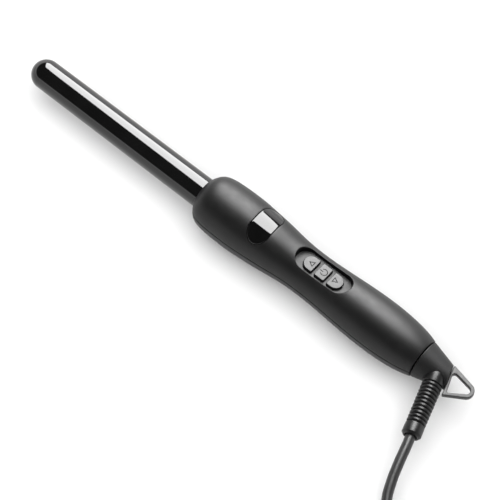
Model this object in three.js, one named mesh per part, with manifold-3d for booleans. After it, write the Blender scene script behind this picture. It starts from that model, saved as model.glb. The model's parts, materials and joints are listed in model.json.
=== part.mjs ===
// A clipless hair-curling wand, in millimetres, +Z up.
//
// X runs along the wand: the cool tip points to -X, the cord end to +X. The wand lies on a
// table at Z = 0, its buttons face up, and the origin is under the middle of its length.
// The barrel, the handle and everything in it turn about X on the cord swivel in the tail.

import * as THREE from 'three';
import { mergeVertices } from 'three/addons/utils/BufferGeometryUtils.js';
import Module from 'manifold-3d';

const wasm = await Module();
wasm.setup();

// ---------------------------------------------------------------- driving dimensions

const GAP = 0.3; // between pieces that touch
const SIDES = 36; // facets round the handle
const INNER_SIDES = 20; // facets round the pieces inside it

// Lengths along the wand are measured from the handle's front rim, towards the tail.
const TIP_X = -130.4;
const BARREL_RADIUS = 9.5;
const BARREL_TIP_RADIUS = 9.15;
const BARREL_WALL = 1;
const BARREL_END_X = 20;

const HANDLE_PROFILE = [
  [0, 10.4], [1.5, 12.5], [3.8, 14.95], [7.9, 16.75], [13, 17.5], [22.8, 17.9], [31, 17.85], [40.5, 17.2],
  [54.7, 15.85], [64.1, 14.7], [78.1, 13.95], [92.1, 14.35], [110.6, 15.5], [129.1, 16],
  [142.7, 15.3], [151.8, 14.05], [159.3, 12.1],
];
const SHELL_WALL = 2.8;
const SEAM_X = 159.3;
const COLLAR_RADIUS = 12;
const COLLAR_X = [3.6, 20.5];

const LENS_X = [37, 50.3];
const LENS_HALF_WIDTH = 12.3;
const LENS_THICKNESS = 1.4;

const PANEL_X = 86.4; // middle of the three buttons
const PANEL_HALF_LENGTH = 18.9;
const PANEL_HALF_WIDTH = 7.05;
const PANEL_FLOOR_Z = 9.3;
const PANEL_FLOOR_THICKNESS = 1.6;
const BUTTON_TOP_Z = 11.2;
const BUTTON_HALF_WIDTH = 4.7;
const MIDDLE_BUTTON_LENGTH = 6.6;
const END_BUTTON_LENGTH = 7.8;
const BUTTON_SPACING = 2.2;
const BUTTON_TRAVEL = 0.5;

const BOARD_Z = [1.6, 3.2];
const SCREW_X = [57, 124];
const BOSS_REACH = 14; // into the shell's wall, from the wand's axis

const SPINDLE_RADIUS = 5;
const SPINDLE_BORE = 3;
const BUSH_X = [146.2, 158.8];
const BUSH_RADIUS = 8.1;
const BUSH_FLANGE = 1.8;

const TAIL_ROLL = 6; // degrees that the cord end is turned from the buttons
const CONE_X = 160;
const CONE_RADIUS = 11.7;
const CONE_END_RADIUS = 6.9;
const RELIEF_ROOT_X = 170.75; // where the strain relief's axis meets the wand's
const RELIEF_ANGLE = 73; // degrees from the wand's axis
const RELIEF_RISE = 1.6; // of the strain relief over the tail's middle plane
const RELIEF_START = 2.8; // where its head starts, below the cone's surface
const RELIEF_HEAD_RADIUS = 5.95;
const RELIEF_END_RADIUS = 5.65;
const RELIEF_LENGTH = 43.9;
const RELIEF_GROOVES = 12;
const GROOVE_START = 10.2;
const GROOVE_PITCH = 2.36;
const GROOVE_DEPTH = 1;

const LOOP_THICKNESS = 3.2;
const LOOP_APEX = [190, 0.25, 4.75];

const CORD_RADIUS = 3;
const COIL_CENTRE = [272, -48];
const COIL_RADII = [24, 48];
const COIL_HEIGHT = 17.2;
const PLUG_X = 300;
const PLUG_BACK_Y = -38;
const PLUG_LENGTH = 36;
const PLUG_Z = 24.4;
const PIN_LENGTH = 19;
const PIN_SPACING = 18.6;
const PIN_RADIUS = 2;

const HANDLE_RADIUS = Math.max(...HANDLE_PROFILE.map(([, radius]) => radius));
const LOOP_END_X = LOOP_APEX[0] + LOOP_APEX[2];
const RIM_X = -(TIP_X + LOOP_END_X) / 2;
const AXIS_Z = HANDLE_RADIUS;

// ---------------------------------------------------------------- materials

const colour = (value, roughness, metalness = 0) =>
  new THREE.MeshStandardMaterial({ color: value, roughness, metalness });

const MATERIALS = {
  softTouch: colour(0x1b1b1b, 0.55),
  glossBlack: colour(0x0b0b0b, 0.12),
  lens: colour(0x050505, 0.04),
  buttonBlack: colour(0x202020, 0.35),
  texturedBlack: colour(0x191919, 0.7),
  rubberBlack: colour(0x161616, 0.45),
  phenolic: colour(0x2b2622, 0.6),
  aluminium: colour(0xb8babd, 0.35, 1),
  brass: colour(0xc9a24a, 0.3, 1),
  steel: colour(0xa8abae, 0.3, 1),
  ceramic: colour(0xece7dc, 0.6),
  board: colour(0x1f5b3a, 0.5),
  cream: colour(0xd8cfae, 0.5),
  wire: colour(0xb3261e, 0.5),
};

// ---------------------------------------------------------------- solids

const radians = THREE.MathUtils.degToRad;

// A closed three.js geometry as a solid that can be joined and cut.
function solidOf(geometry) {
  const bare = new THREE.BufferGeometry();
  const flat = geometry.index ? geometry.toNonIndexed() : geometry;
  bare.setAttribute('position', flat.getAttribute('position'));
  const merged = mergeVertices(bare, 1e-4);
  const positions = merged.getAttribute('position').array;
  const index = merged.index.array;
  const triangles = [];
  let volume = 0;
  for (let i = 0; i < index.length; i += 3) {
    const [a, b, c] = index.slice(i, i + 3);
    if (a === b || b === c || c === a) continue;
    triangles.push([a, b, c]);
    const [p, q, r] = [a, b, c].map((k) => new THREE.Vector3().fromArray(positions, 3 * k));
    volume += p.dot(q.cross(r));
  }
  if (volume < 0) triangles.forEach((triangle) => triangle.reverse());
  const triVerts = new Uint32Array(triangles.flat());
  return new wasm.Manifold(
    new wasm.Mesh({ numProp: 3, vertProperties: new Float32Array(positions), triVerts }),
  );
}

function geometryOf(solid) {
  const mesh = solid.getMesh();
  const geometry = new THREE.BufferGeometry();
  geometry.setAttribute('position', new THREE.BufferAttribute(mesh.vertProperties, 3));
  geometry.setIndex(new THREE.BufferAttribute(mesh.triVerts, 1));
  geometry.computeVertexNormals();
  return geometry;
}

function piece(name, solid, material) {
  const mesh = new THREE.Mesh(geometryOf(solid), material);
  mesh.name = name;
  return mesh;
}

// A profile of [x, radius] points turned about the X axis.
function turned(profile, sides = SIDES) {
  const points = profile.map(([x, radius]) => new THREE.Vector2(radius, x));
  const geometry = new THREE.LatheGeometry(points, sides);
  return solidOf(geometry.rotateZ(-Math.PI / 2));
}

// A tube about the X axis, from one x to another.
const ring = (from, to, inner, outer, sides) =>
  turned([[from, inner], [from, outer], [to, outer], [to, inner], [from, inner]], sides);

const disc = (from, to, radius, sides) =>
  turned([[from, 0], [from, radius], [to, radius], [to, 0]], sides);

function block([x0, x1], [y0, y1], [z0, z1]) {
  const geometry = new THREE.BoxGeometry(x1 - x0, y1 - y0, z1 - z0);
  return solidOf(geometry.translate((x0 + x1) / 2, (y0 + y1) / 2, (z0 + z1) / 2));
}

// A round bar along any line.
function bar(from, to, radius, sides = 24) {
  const start = new THREE.Vector3(...from);
  const along = new THREE.Vector3(...to).sub(start);
  const geometry = new THREE.CylinderGeometry(radius, radius, along.length(), sides);
  geometry.translate(0, along.length() / 2, 0);
  const upright = new THREE.Vector3(0, 1, 0);
  geometry.applyQuaternion(new THREE.Quaternion().setFromUnitVectors(upright, along.normalize()));
  return solidOf(geometry.translate(start.x, start.y, start.z));
}

// The outline drawn round a list of circles [x, y, radius], taken anticlockwise.
function around(circles) {
  const normals = circles.map(([x, y, radius], i) => {
    const [nextX, nextY, nextRadius] = circles[(i + 1) % circles.length];
    const length = Math.hypot(nextX - x, nextY - y);
    const [dx, dy] = [(nextX - x) / length, (nextY - y) / length];
    const lean = (radius - nextRadius) / length;
    const side = Math.sqrt(1 - lean * lean);
    return Math.atan2(dy * lean - dx * side, dx * lean + dy * side);
  });
  const shape = new THREE.Shape();
  circles.forEach(([x, y, radius], i) => {
    const before = normals[(i + circles.length - 1) % circles.length];
    shape.absarc(x, y, radius, before, normals[i], false);
  });
  shape.closePath();
  return shape;
}

const grown = (circles, by) => circles.map(([x, y, radius]) => [x, y, radius + by]);

// An outline in X and Y, drawn out along Z.
function prism(outline, [z0, z1], curveSegments = 8) {
  const options = { depth: z1 - z0, bevelEnabled: false, curveSegments };
  return solidOf(new THREE.ExtrudeGeometry(outline, options).translate(0, 0, z0));
}

// A round tube drawn along a smooth curve through points.
function drawn(points, radius, steps, sides = 8) {
  const section = new THREE.Shape();
  const corners = Array.from({ length: sides }, (_, i) => (2 * Math.PI * i) / sides);
  section.setFromPoints(
    corners.map((angle) => new THREE.Vector2(radius * Math.cos(angle), radius * Math.sin(angle))),
  );
  const extrudePath = new THREE.CatmullRomCurve3(points.map((p) => new THREE.Vector3(...p)));
  return solidOf(new THREE.ExtrudeGeometry(section, { steps, extrudePath, bevelEnabled: false }));
}

// ---------------------------------------------------------------- handle shape

function handleBody() {
  return turned([[0, 0], ...HANDLE_PROFILE, [SEAM_X, 0]]);
}

// The handle's outer shape over part of its length, a depth below the surface.
function handleCore(from, to, depth) {
  const profile = HANDLE_PROFILE.filter(([x]) => x > from && x < to);
  return turned([[from, 0], ...profile.map(([x, radius]) => [x, radius - depth]), [to, 0]]);
}

// The hollow: a seat round the collar, the main room, and the bore for the swivel bush.
function handleHollow() {
  const room = HANDLE_PROFILE
    .filter(([x]) => x > COLLAR_X[1] && x < BUSH_X[0])
    .map(([x, radius]) => [x, radius - SHELL_WALL]);
  return turned([
    [-1, 0],
    [-1, BARREL_RADIUS + GAP],
    [COLLAR_X[0] - GAP, BARREL_RADIUS + GAP],
    [COLLAR_X[0] - GAP, COLLAR_RADIUS + GAP],
    [COLLAR_X[1] + GAP, COLLAR_RADIUS + GAP],
    ...room,
    [BUSH_X[0] + BUSH_FLANGE + GAP, 11],
    [BUSH_X[0] + BUSH_FLANGE + GAP, BUSH_RADIUS + GAP],
    [SEAM_X + 1, BUSH_RADIUS + GAP],
    [SEAM_X + 1, 0],
  ]);
}

const lensOutline = (clearance) => {
  const middle = (LENS_X[0] + LENS_X[1]) / 2;
  const radius = (LENS_X[1] - LENS_X[0]) / 2;
  const reach = LENS_HALF_WIDTH - radius;
  return around(grown([[middle, -reach, radius], [middle, reach, radius]], clearance));
};

const panelOutline = (clearance) => {
  const reach = PANEL_HALF_LENGTH - PANEL_HALF_WIDTH;
  const ends = [-reach, reach].map((x) => [PANEL_X + x, 0, PANEL_HALF_WIDTH]);
  return around(grown(ends, clearance));
};

// The button outlines: a square one in the middle, and one with a round end on each side.
const BUTTON_CORNER = 0.8;
const cornerY = BUTTON_HALF_WIDTH - BUTTON_CORNER;

function middleButtonCircles() {
  const x = MIDDLE_BUTTON_LENGTH / 2 - BUTTON_CORNER;
  return [[-x, -cornerY], [x, -cornerY], [x, cornerY], [-x, cornerY]]
    .map(([dx, y]) => [PANEL_X + dx, y, BUTTON_CORNER]);
}

function endButtonCircles(side) {
  const flat = MIDDLE_BUTTON_LENGTH / 2 + BUTTON_SPACING + BUTTON_CORNER;
  const round = MIDDLE_BUTTON_LENGTH / 2 + BUTTON_SPACING + END_BUTTON_LENGTH - BUTTON_HALF_WIDTH;
  const corners = [[flat * side, -cornerY * side], [flat * side, cornerY * side]];
  return [
    [PANEL_X + round * side, 0, BUTTON_HALF_WIDTH],
    ...corners.reverse().map(([dx, y]) => [PANEL_X + dx, y, BUTTON_CORNER]),
  ];
}

const BUTTONS = {
  temperature_down_button: endButtonCircles(-1),
  power_button: middleButtonCircles(),
  temperature_up_button: endButtonCircles(1),
};

// ---------------------------------------------------------------- handle pieces

function screwBoss(x, z, radius) {
  return bar([x, 0, z[0]], [x, 0, z[1]], radius);
}

function upperShell() {
  const outside = handleBody();
  const half = block([-5, 165], [-30, 30], [GAP / 2, 30]);
  const tub = prism(panelOutline(1.6), [PANEL_FLOOR_Z - PANEL_FLOOR_THICKNESS, 30]);
  const bosses = SCREW_X.map((x) => screwBoss(x, [GAP / 2, BOSS_REACH], 3.4));
  let shell = outside.subtract(handleHollow()).intersect(half);
  shell = shell.add(tub.intersect(outside));
  bosses.forEach((boss) => {
    shell = shell.add(boss);
  });
  SCREW_X.forEach((x) => {
    shell = shell.subtract(bar([x, 0, -1], [x, 0, 8.5], 1.5));
  });
  shell = shell.subtract(prism(panelOutline(0), [PANEL_FLOOR_Z, 30]));
  Object.values(BUTTONS).forEach((circles) => {
    shell = shell.subtract(prism(around(grown(circles, GAP)), [0, 30], 4));
  });
  return shell.subtract(lensPocket()).subtract(block([38.9, 48.4], [-7.5, 7.5], [9, 30]));
}

// The pocket that the lens lies in follows the handle's curve, a lens thickness below it.
function lensPocket() {
  return prism(lensOutline(GAP), [3, 30]).subtract(handleCore(30, 60, LENS_THICKNESS + GAP));
}

function lens() {
  const inside = handleCore(30, 60, LENS_THICKNESS);
  return prism(lensOutline(0), [3, 30]).subtract(inside).intersect(handleBody());
}

function lowerShell() {
  const half = block([-5, 165], [-30, 30], [-30, -GAP / 2]);
  let shell = handleBody().subtract(handleHollow()).intersect(half);
  SCREW_X.forEach((x) => {
    shell = shell.add(screwBoss(x, [-BOSS_REACH, -GAP / 2], 4.2));
    shell = shell.subtract(bar([x, 0, -10], [x, 0, 1], 1.5));
    shell = shell.subtract(bar([x, 0, -30], [x, 0, -9], 3.1));
  });
  return shell;
}

function shellScrew(x) {
  const shank = bar([x, 0, -9.5], [x, 0, 7.5], 1.2, 12);
  const head = bar([x, 0, -11], [x, 0, -9 - GAP], 2.7, 12);
  const drive = [block([x - 1.7, x + 1.7], [-0.35, 0.35], [-12, -10.2]),
    block([x - 0.35, x + 0.35], [-1.7, 1.7], [-12, -10.2])];
  return shank.add(head).subtract(drive[0]).subtract(drive[1]);
}

// A button with a wider foot under the panel, which keeps it in.
function button(circles) {
  const floor = PANEL_FLOOR_Z - PANEL_FLOOR_THICKNESS;
  const foot = prism(around(grown(circles, 0.8)), [floor - GAP - 0.8, floor - GAP], 3);
  return foot.add(prism(around(circles), [floor - GAP - 0.2, BUTTON_TOP_Z], 4));
}

// A square key switch on the board, under the middle of its button.
function keySwitch(circles) {
  const xs = circles.map(([x]) => x);
  const x = (Math.min(...xs) + Math.max(...xs)) / 2;
  const buttonFoot = PANEL_FLOOR_Z - PANEL_FLOOR_THICKNESS - GAP - 0.8;
  const body = block([x - 3, x + 3], [-3, 3], [BOARD_Z[1] + GAP, 5]);
  return body.add(bar([x, 0, 4.8], [x, 0, buttonFoot - BUTTON_TRAVEL - GAP], 1.7, 16));
}

function handlePieces() {
  const pieces = [
    piece('handle_upper_shell', upperShell(), MATERIALS.softTouch),
    piece('handle_lower_shell', lowerShell(), MATERIALS.softTouch),
    piece('display_lens', lens(), MATERIALS.lens),
    piece('display_module', block([39.2, 48.1], [-6.5, 6.5], [9.6, 12.2]), MATERIALS.glossBlack),
    piece('control_board', block([64, 118], [-9.8, 9.8], BOARD_Z), MATERIALS.board),
    piece('film_capacitor', block([100, 113], [-3.5, 3.5], [-8, BOARD_Z[0] - GAP]), MATERIALS.cream),
    piece('heater_triac', block([84, 88.5], [-5, 5], [-8.5, BOARD_Z[0] - GAP]), MATERIALS.glossBlack),
    piece('shell_screw_front', shellScrew(SCREW_X[0]), MATERIALS.steel),
    piece('shell_screw_rear', shellScrew(SCREW_X[1]), MATERIALS.steel),
  ];
  Object.entries(BUTTONS).forEach(([name, circles]) => {
    pieces.push(piece(name, button(circles), MATERIALS.buttonBlack));
    pieces.push(piece(name.replace('button', 'switch'), keySwitch(circles), MATERIALS.steel));
  });
  return pieces;
}

// ---------------------------------------------------------------- barrel and heater

// A closed tube with a round tip, tapering a little towards it and open in the handle.
function barrel() {
  const arc = (radius, centre) => Array.from({ length: 7 }, (_, i) => {
    const angle = (Math.PI / 2) * (i / 6);
    return [centre - radius * Math.cos(angle), radius * Math.sin(angle)];
  });
  const shoulder = TIP_X + BARREL_TIP_RADIUS;
  return turned([
    ...arc(BARREL_TIP_RADIUS, shoulder),
    [0, BARREL_RADIUS],
    [BARREL_END_X, BARREL_RADIUS],
    [BARREL_END_X, BARREL_RADIUS - BARREL_WALL],
    [0, BARREL_RADIUS - BARREL_WALL],
    ...arc(BARREL_TIP_RADIUS - BARREL_WALL, shoulder).reverse(),
  ], 32);
}

function collar() {
  const [front, back] = COLLAR_X;
  return ring(front, back, BARREL_RADIUS + GAP, COLLAR_RADIUS, 32);
}

// Half of the round bar that carries heat from the flat heater to the barrel's wall.
function heatSpreader(side) {
  const whole = disc(-118, -20, 7.7, INNER_SIDES);
  const half = side > 0 ? [1.6, 10] : [-10, -1.6];
  return whole.intersect(block([-120, -18], [-10, 10], half));
}

function heaterLead(side) {
  const route = [[-14.7, 2.4, 0], [0, 2.6, 0], [14, 3, 0], [34, 6.8, 0], [52, 7.6, 0.6], [63.5, 6.5, 2.4]];
  return drawn(route.map(([x, y, z]) => [x, y * side, z]), 0.7, 12, 6);
}

function barrelPieces() {
  return [
    piece('barrel', barrel(), MATERIALS.glossBlack),
    piece('barrel_collar', collar(), MATERIALS.phenolic),
    piece('heat_spreader_upper', heatSpreader(1), MATERIALS.aluminium),
    piece('heat_spreader_lower', heatSpreader(-1), MATERIALS.aluminium),
    piece('ceramic_heater', block([-112, -15], [-5, 5], [-1.3, 1.3]), MATERIALS.ceramic),
    piece('thermistor', bar([-14.7, 0, 0], [-9, 0, 0], 1.1, 12), MATERIALS.brass),
    piece('heater_lead_live', heaterLead(1), MATERIALS.wire),
    piece('heater_lead_neutral', heaterLead(-1), MATERIALS.wire),
  ];
}

// ---------------------------------------------------------------- swivel in the handle's end

function swivelBush() {
  const bore = SPINDLE_RADIUS + GAP;
  const flange = ring(BUSH_X[0], BUSH_X[0] + BUSH_FLANGE, bore, BUSH_RADIUS + 1.7, INNER_SIDES);
  return ring(...BUSH_X, bore, BUSH_RADIUS, INNER_SIDES).add(flange);
}

// A hollow spindle with a groove for its clip and a foot inside the tail cap.
function swivelSpindle() {
  return turned([
    [142, SPINDLE_BORE], [142, SPINDLE_RADIUS], [143.4, SPINDLE_RADIUS], [143.4, 4.2],
    [145, 4.2], [145, SPINDLE_RADIUS], [CONE_X + 0.8, SPINDLE_RADIUS], [CONE_X + 0.8, 8.9],
    [CONE_X + 2.8, 8.9], [CONE_X + 2.8, SPINDLE_BORE], [142, SPINDLE_BORE],
  ], INNER_SIDES);
}

// The hub carries two ring contacts that turn against the brushes.
function slipRingHub() {
  return disc(139, 141.7, 8.6, INNER_SIDES).add(disc(141.4, 147, SPINDLE_BORE - GAP, 12));
}

function brush(radius) {
  return block([134.4, 138.1], [-1, 1], [radius - 0.4, radius + 0.4]);
}

function swivelPieces() {
  return {
    fixed: [
      piece('swivel_bush', swivelBush(), MATERIALS.cream),
      piece('brush_holder', ring(131.6, 134.1, 2.5, 11.6, INNER_SIDES), MATERIALS.phenolic),
      piece('brush_inner', brush(4.2), MATERIALS.brass),
      piece('brush_outer', brush(6.8), MATERIALS.brass),
    ],
    turning: [
      piece('swivel_spindle', swivelSpindle(), MATERIALS.phenolic),
      piece('spindle_clip', ring(143.7, 144.7, 4.5, 7.2, INNER_SIDES), MATERIALS.steel),
      piece('slip_ring_hub', slipRingHub(), MATERIALS.phenolic),
      piece('slip_ring_inner', ring(138.4, 138.7, 3.4, 5, INNER_SIDES), MATERIALS.brass),
      piece('slip_ring_outer', ring(138.4, 138.7, 6, 7.6, INNER_SIDES), MATERIALS.brass),
    ],
  };
}

// ---------------------------------------------------------------- tail

const reliefDirection = new THREE.Vector2(1, 0).rotateAround(
  new THREE.Vector2(), -radians(RELIEF_ANGLE));

// A point in the tail's plane: a distance along the strain relief, and one to its loop side.
function besideRelief(along, across, z = 0) {
  const { x, y } = reliefDirection;
  return [RELIEF_ROOT_X + along * x - across * y, along * y + across * x, z];
}

const CAP_END = RELIEF_HEAD_RADIUS + 0.95; // from the strain relief's axis to the cap's end face
const LOOP_BASE = CAP_END + GAP;
const TONGUE = { along: [-3.6, -1.2], inner: 2.2 };

// Everything further than a distance from the strain relief's axis, on its loop side.
function beyondRelief(across) {
  const corners = [[-60, across], [60, across], [60, across + 60], [-60, across + 60]];
  const shape = new THREE.Shape(corners.map(([a, b]) => {
    const [x, y] = besideRelief(a, b);
    return new THREE.Vector2(x, y);
  }));
  return prism(shape, [-40, 40]);
}

function tonguePrism(from, to, clearance) {
  const [near, far] = TONGUE.along;
  const corners = [[near - clearance, from], [far + clearance, from],
    [far + clearance, to], [near - clearance, to]];
  const shape = new THREE.Shape(corners.map(([a, b]) => {
    const [x, y] = besideRelief(a, b);
    return new THREE.Vector2(x, y);
  }));
  return prism(shape, [-LOOP_THICKNESS / 2 - clearance, LOOP_THICKNESS / 2 + clearance]);
}

// The cone is open to the front, bored for the strain relief, and cut off along its side.
function tailCap() {
  const end = 182;
  const onReliefAxis = (along) => besideRelief(along, 0, RELIEF_RISE);
  const slope = (CONE_RADIUS - CONE_END_RADIUS) / 18.5;
  const outside = turned([
    [CONE_X, 0], [CONE_X, CONE_RADIUS - 0.5], [CONE_X + 0.5, CONE_RADIUS],
    [end, CONE_RADIUS - slope * (end - CONE_X)], [end, 0],
  ]);
  const hollow = turned([
    [CONE_X - 1, 0], [CONE_X - 1, 9.3], [CONE_X + 3.2, 9.3], [166, 7.6], [166, 4.2],
    [172.5, 4.2], [172.5, 0],
  ], INNER_SIDES);
  return outside
    .subtract(hollow)
    .subtract(bar(onReliefAxis(0), onReliefAxis(7), 4 + GAP, 20))
    .subtract(bar(onReliefAxis(RELIEF_START - GAP), onReliefAxis(40), RELIEF_HEAD_RADIUS + GAP, 32))
    .subtract(tonguePrism(TONGUE.inner - GAP, CAP_END + 2, GAP))
    .subtract(beyondRelief(CAP_END));
}

// A neck in the cap, a smooth head, grooves that let it bend, and a collar with a recess
// in its end face where the cord comes out.
function strainRelief() {
  const taper = (s) => RELIEF_HEAD_RADIUS
    + (RELIEF_END_RADIUS - RELIEF_HEAD_RADIUS) * (s / RELIEF_LENGTH);
  const profile = [[0.6, 0], [0.6, 4], [RELIEF_START, 4], [RELIEF_START, taper(0)]];
  for (let groove = 0; groove < RELIEF_GROOVES; groove += 1) {
    const middle = GROOVE_START + groove * GROOVE_PITCH;
    profile.push([middle - 0.7, taper(middle)]);
    profile.push([middle, taper(middle) - GROOVE_DEPTH]);
    profile.push([middle + 0.7, taper(middle)]);
  }
  const end = RELIEF_LENGTH;
  profile.push([end - 1.5, RELIEF_END_RADIUS], [end, RELIEF_END_RADIUS - 1.2]);
  profile.push([end, CORD_RADIUS + 0.6], [end - 2, CORD_RADIUS + 0.6], [end - 2, 0]);
  return turned(profile, 20);
}

const loopCircles = () => {
  const [upperX, upperY] = besideRelief(-5.2, LOOP_BASE + 0.6);
  const [lowerX, lowerY] = besideRelief(12.9, LOOP_BASE + 0.5);
  return [[lowerX, lowerY, 0.5], LOOP_APEX, [upperX, upperY, 0.6]];
};

// A flat ring with three round corners, and the tongue that holds it in the tail cap.
function hangLoop() {
  const half = LOOP_THICKNESS / 2;
  const eye = around([[182.9, -7, 0.7], [190.05, 0.3, 2.45], [180.2, 2.8, 1.6]]);
  return prism(around(loopCircles()), [-half, half], 6)
    .subtract(prism(eye, [-half - 1, half + 1], 5))
    .add(tonguePrism(TONGUE.inner, LOOP_BASE + 1, 0));
}

// ---------------------------------------------------------------- cord and plug

// From the strain relief down to the table and on to the coil.
const LEAD_ROUTE = [
  [150.9, -40.2, 15.3], [153.1, -47.2, 14.5], [156, -57.6, 12.6], [159.8, -69, 9.8],
  [164.5, -78.6, 7.2], [171.8, -86.3, 5.2], [181.2, -91.3, 3.8], [192.3, -93.1, 3.2],
  [206, -93.1, 3.05], [220, -93.1, 3.05], [234, -93.1, 3.05], [247, -93.1, 3.05],
];

// From the top of the coil, rising round its inner turn, to the plug.
const TAIL_ROUTE = [[293.5, -68.9, 20.9], [297.6, -62.2, 22.9], [299.6, -56, 24.1], [300, -50.4, 24.4]];

function coil() {
  const [inner, outer] = COIL_RADII;
  const edge = 3;
  const profile = [
    [inner, edge], [inner + edge, 0], [outer - edge, 0], [outer, edge],
    [outer, COIL_HEIGHT - 4], [outer - 4, COIL_HEIGHT], [inner + 4, COIL_HEIGHT],
    [inner, COIL_HEIGHT - 4], [inner, edge],
  ];
  const geometry = new THREE.LatheGeometry(profile.map((p) => new THREE.Vector2(...p)), 36);
  geometry.rotateX(Math.PI / 2);
  return solidOf(geometry.translate(...COIL_CENTRE, 0));
}

// A strap over the turns, down both sides of the coil.
function cordTie() {
  const [inner, outer] = COIL_RADII;
  const [x, y] = COIL_CENTRE;
  const half = 4;
  const band = 0.8;
  const near = y + Math.sqrt(inner ** 2 - half ** 2) - GAP;
  const far = y + outer + GAP;
  const top = COIL_HEIGHT + GAP;
  return block([x - half, x + half], [near - band, far + band], [0.1, top + band])
    .subtract(block([x - half - 1, x + half + 1], [near, far], [-1, top]));
}

// A flat two-pin plug: wide at its pins, narrowing to a round sleeve at the cord.
function plugBody() {
  const front = PLUG_BACK_Y + PLUG_LENGTH;
  const corners = [
    [PLUG_X - 3.4, PLUG_BACK_Y + 3, 3], [PLUG_X + 3.4, PLUG_BACK_Y + 3, 3],
    [PLUG_X + 13.6, front - 12, 4], [PLUG_X + 13.6, front - 4, 4],
    [PLUG_X - 13.6, front - 4, 4], [PLUG_X - 13.6, front - 12, 4],
  ];
  const half = 6.8;
  const body = prism(around(corners), [PLUG_Z - half, PLUG_Z + half], 4);
  return body.add(bar([PLUG_X, PLUG_BACK_Y - 12, PLUG_Z], [PLUG_X, PLUG_BACK_Y + 2, PLUG_Z], 4.4, 16));
}

function plugPin(side) {
  const x = PLUG_X + (side * PIN_SPACING) / 2;
  const face = PLUG_BACK_Y + PLUG_LENGTH + GAP;
  return bar([x, face, PLUG_Z], [x, face + PIN_LENGTH, PLUG_Z], PIN_RADIUS, 16);
}

function cordPieces() {
  return [
    piece('cord_lead', drawn(LEAD_ROUTE, CORD_RADIUS, 24, 10), MATERIALS.rubberBlack),
    piece('cord_coil', coil(), MATERIALS.rubberBlack),
    piece('cord_tail', drawn(TAIL_ROUTE, CORD_RADIUS, 5, 10), MATERIALS.rubberBlack),
    piece('cord_tie', cordTie(), MATERIALS.rubberBlack),
    piece('plug_body', plugBody(), MATERIALS.rubberBlack),
    piece('plug_pin_left', plugPin(-1), MATERIALS.steel),
    piece('plug_pin_right', plugPin(1), MATERIALS.steel),
  ];
}

// ---------------------------------------------------------------- assembly

const swivel = swivelPieces();

const tail = new THREE.Group();
tail.rotation.x = radians(TAIL_ROLL);
const relief = new THREE.Group();
relief.position.set(RELIEF_ROOT_X, 0, RELIEF_RISE);
relief.rotation.z = -radians(RELIEF_ANGLE);
relief.add(piece('strain_relief', strainRelief(), MATERIALS.rubberBlack));
tail.add(piece('tail_cap', tailCap(), MATERIALS.texturedBlack));
tail.add(piece('hang_loop', hangLoop(), MATERIALS.rubberBlack));
tail.add(relief, ...swivel.turning);

const wand = new THREE.Group();
wand.position.set(RIM_X, 0, AXIS_Z);
wand.add(...barrelPieces(), ...handlePieces(), ...swivel.fixed, tail);

const group = new THREE.Group();
group.add(wand, ...cordPieces());

export default group;
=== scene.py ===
import json
import math

import bmesh
import bpy
import numpy as np
from mathutils import Matrix, Vector
from mathutils.geometry import delaunay_2d_cdt

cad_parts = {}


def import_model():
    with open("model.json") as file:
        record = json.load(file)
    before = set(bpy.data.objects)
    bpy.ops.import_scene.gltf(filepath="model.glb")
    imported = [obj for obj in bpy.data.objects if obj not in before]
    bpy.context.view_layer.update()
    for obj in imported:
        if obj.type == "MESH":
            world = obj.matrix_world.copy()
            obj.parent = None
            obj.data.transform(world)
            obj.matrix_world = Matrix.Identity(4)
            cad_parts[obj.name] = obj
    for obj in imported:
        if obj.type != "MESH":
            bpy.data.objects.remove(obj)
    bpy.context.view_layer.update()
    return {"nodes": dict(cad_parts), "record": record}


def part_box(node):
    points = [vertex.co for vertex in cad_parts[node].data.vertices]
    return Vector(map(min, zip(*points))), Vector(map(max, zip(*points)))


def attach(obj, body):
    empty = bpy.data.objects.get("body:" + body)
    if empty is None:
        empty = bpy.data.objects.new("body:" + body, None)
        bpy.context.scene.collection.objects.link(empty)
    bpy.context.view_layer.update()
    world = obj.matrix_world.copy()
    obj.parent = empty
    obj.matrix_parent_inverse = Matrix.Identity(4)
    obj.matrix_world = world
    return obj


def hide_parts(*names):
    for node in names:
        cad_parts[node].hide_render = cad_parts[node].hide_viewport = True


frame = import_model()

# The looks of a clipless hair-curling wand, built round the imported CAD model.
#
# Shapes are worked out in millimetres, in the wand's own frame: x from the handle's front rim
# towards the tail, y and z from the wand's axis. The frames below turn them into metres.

MM = 0.001


def box_mm(node):
    low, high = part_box(node)
    return low / MM, high / MM


# ---- sizes

shell_low, _ = box_mm("handle_lower_shell")
barrel_low, barrel_high = box_mm("barrel")
_, loop_high = box_mm("hang_loop")
plug_low, plug_high = box_mm("plug_body")
coil_low, coil_high = box_mm("cord_coil")

RIM_X = shell_low.x
AXIS_Z = (barrel_low.z + barrel_high.z) / 2
TIP_X = barrel_low.x - RIM_X
BARREL_END_X = barrel_high.x - RIM_X
BARREL_RADIUS = (barrel_high.z - barrel_low.z) / 2
BARREL_TIP_RADIUS = BARREL_RADIUS - 0.35
BARREL_TAPER_X = -115
BARREL_WALL = 1.0

GAP = 0.3  # between pieces that touch in reality
SEAM_X = 159.3  # the handle's rear edge, at the groove in front of the tail

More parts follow.
